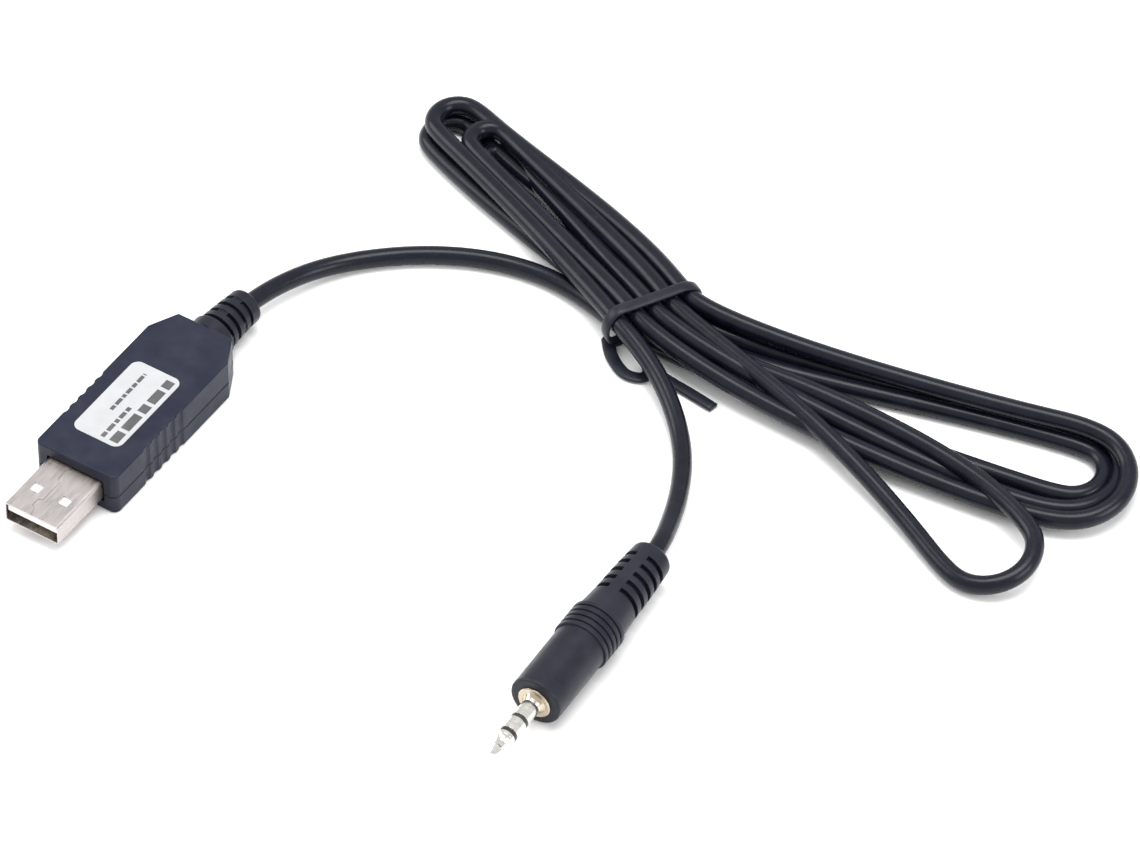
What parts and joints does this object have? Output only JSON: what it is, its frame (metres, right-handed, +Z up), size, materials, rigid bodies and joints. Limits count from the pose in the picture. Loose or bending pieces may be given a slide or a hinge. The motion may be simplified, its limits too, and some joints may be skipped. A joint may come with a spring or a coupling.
{
  "type": "usb microcontroller programmer",
  "caption": "Small two-part plastic housing with a USB-A plug, a thin round cable tied in a loose hank, and a moulded three-pole 3.5 mm plug.",
  "frame": {"origin": "middle of the footprint of the USB plug, housing and strain relief, on the table they rest on", "axes": "+Z up, +Y along the housing from the USB plug's mouth towards the cable, +X to the side the 3.5 mm plug lies on"},
  "size_m": [0.1754, 0.139, 0.011],
  "materials": {
    "black_abs": "satin",
    "white_label": "matte",
    "nickel_sheet": "satin",
    "white_insulator": "satin",
    "gold_contact": "polished",
    "green_board": "glossy",
    "black_epoxy": "matte",
    "tinned_leads": "satin",
    "tan_ceramic": "matte",
    "red_insulation": "satin",
    "white_insulation": "satin",
    "black_insulation": "satin",
    "black_pvc": "satin",
    "black_jacket": "satin",
    "black_tie": "matte",
    "nickel_turned": "polished",
    "black_insulator": "satin"
  },
  "bodies": {
    "root": {"upper_cover": "black_abs", "lower_cover": "black_abs", "label_sticker": "white_label", "usb_shell": "nickel_sheet", "usb_insulator": "white_insulator", "usb_contact_1": "gold_contact", "usb_contact_2": "gold_contact", "usb_contact_3": "gold_contact", "usb_contact_4": "gold_contact", "circuit_board": "green_board", "uart_chip": "black_epoxy", "uart_chip_leads": "tinned_leads", "crystal_can": "tinned_leads", "ceramic_capacitors": "tan_ceramic", "chip_resistors": "black_epoxy", "level_transistors": "black_epoxy", "transmit_wire": "red_insulation", "receive_wire": "white_insulation", "ground_wire": "black_insulation", "strain_relief_boot": "black_pvc", "cord_lead_in": "black_jacket", "cord_hank": "black_jacket", "cord_lead_out": "black_jacket", "twist_tie": "black_tie", "plug_overmould": "black_pvc", "plug_inner_mould": "white_insulator", "plug_sleeve": "nickel_turned", "plug_ring": "nickel_turned", "plug_tip": "nickel_turned", "plug_insulator_front": "black_insulator", "plug_insulator_rear": "black_insulator", "plug_tip_wire": "red_insulation", "plug_ring_wire": "white_insulation", "plug_sleeve_wire": "black_insulation"}
  },
  "joints": []
}
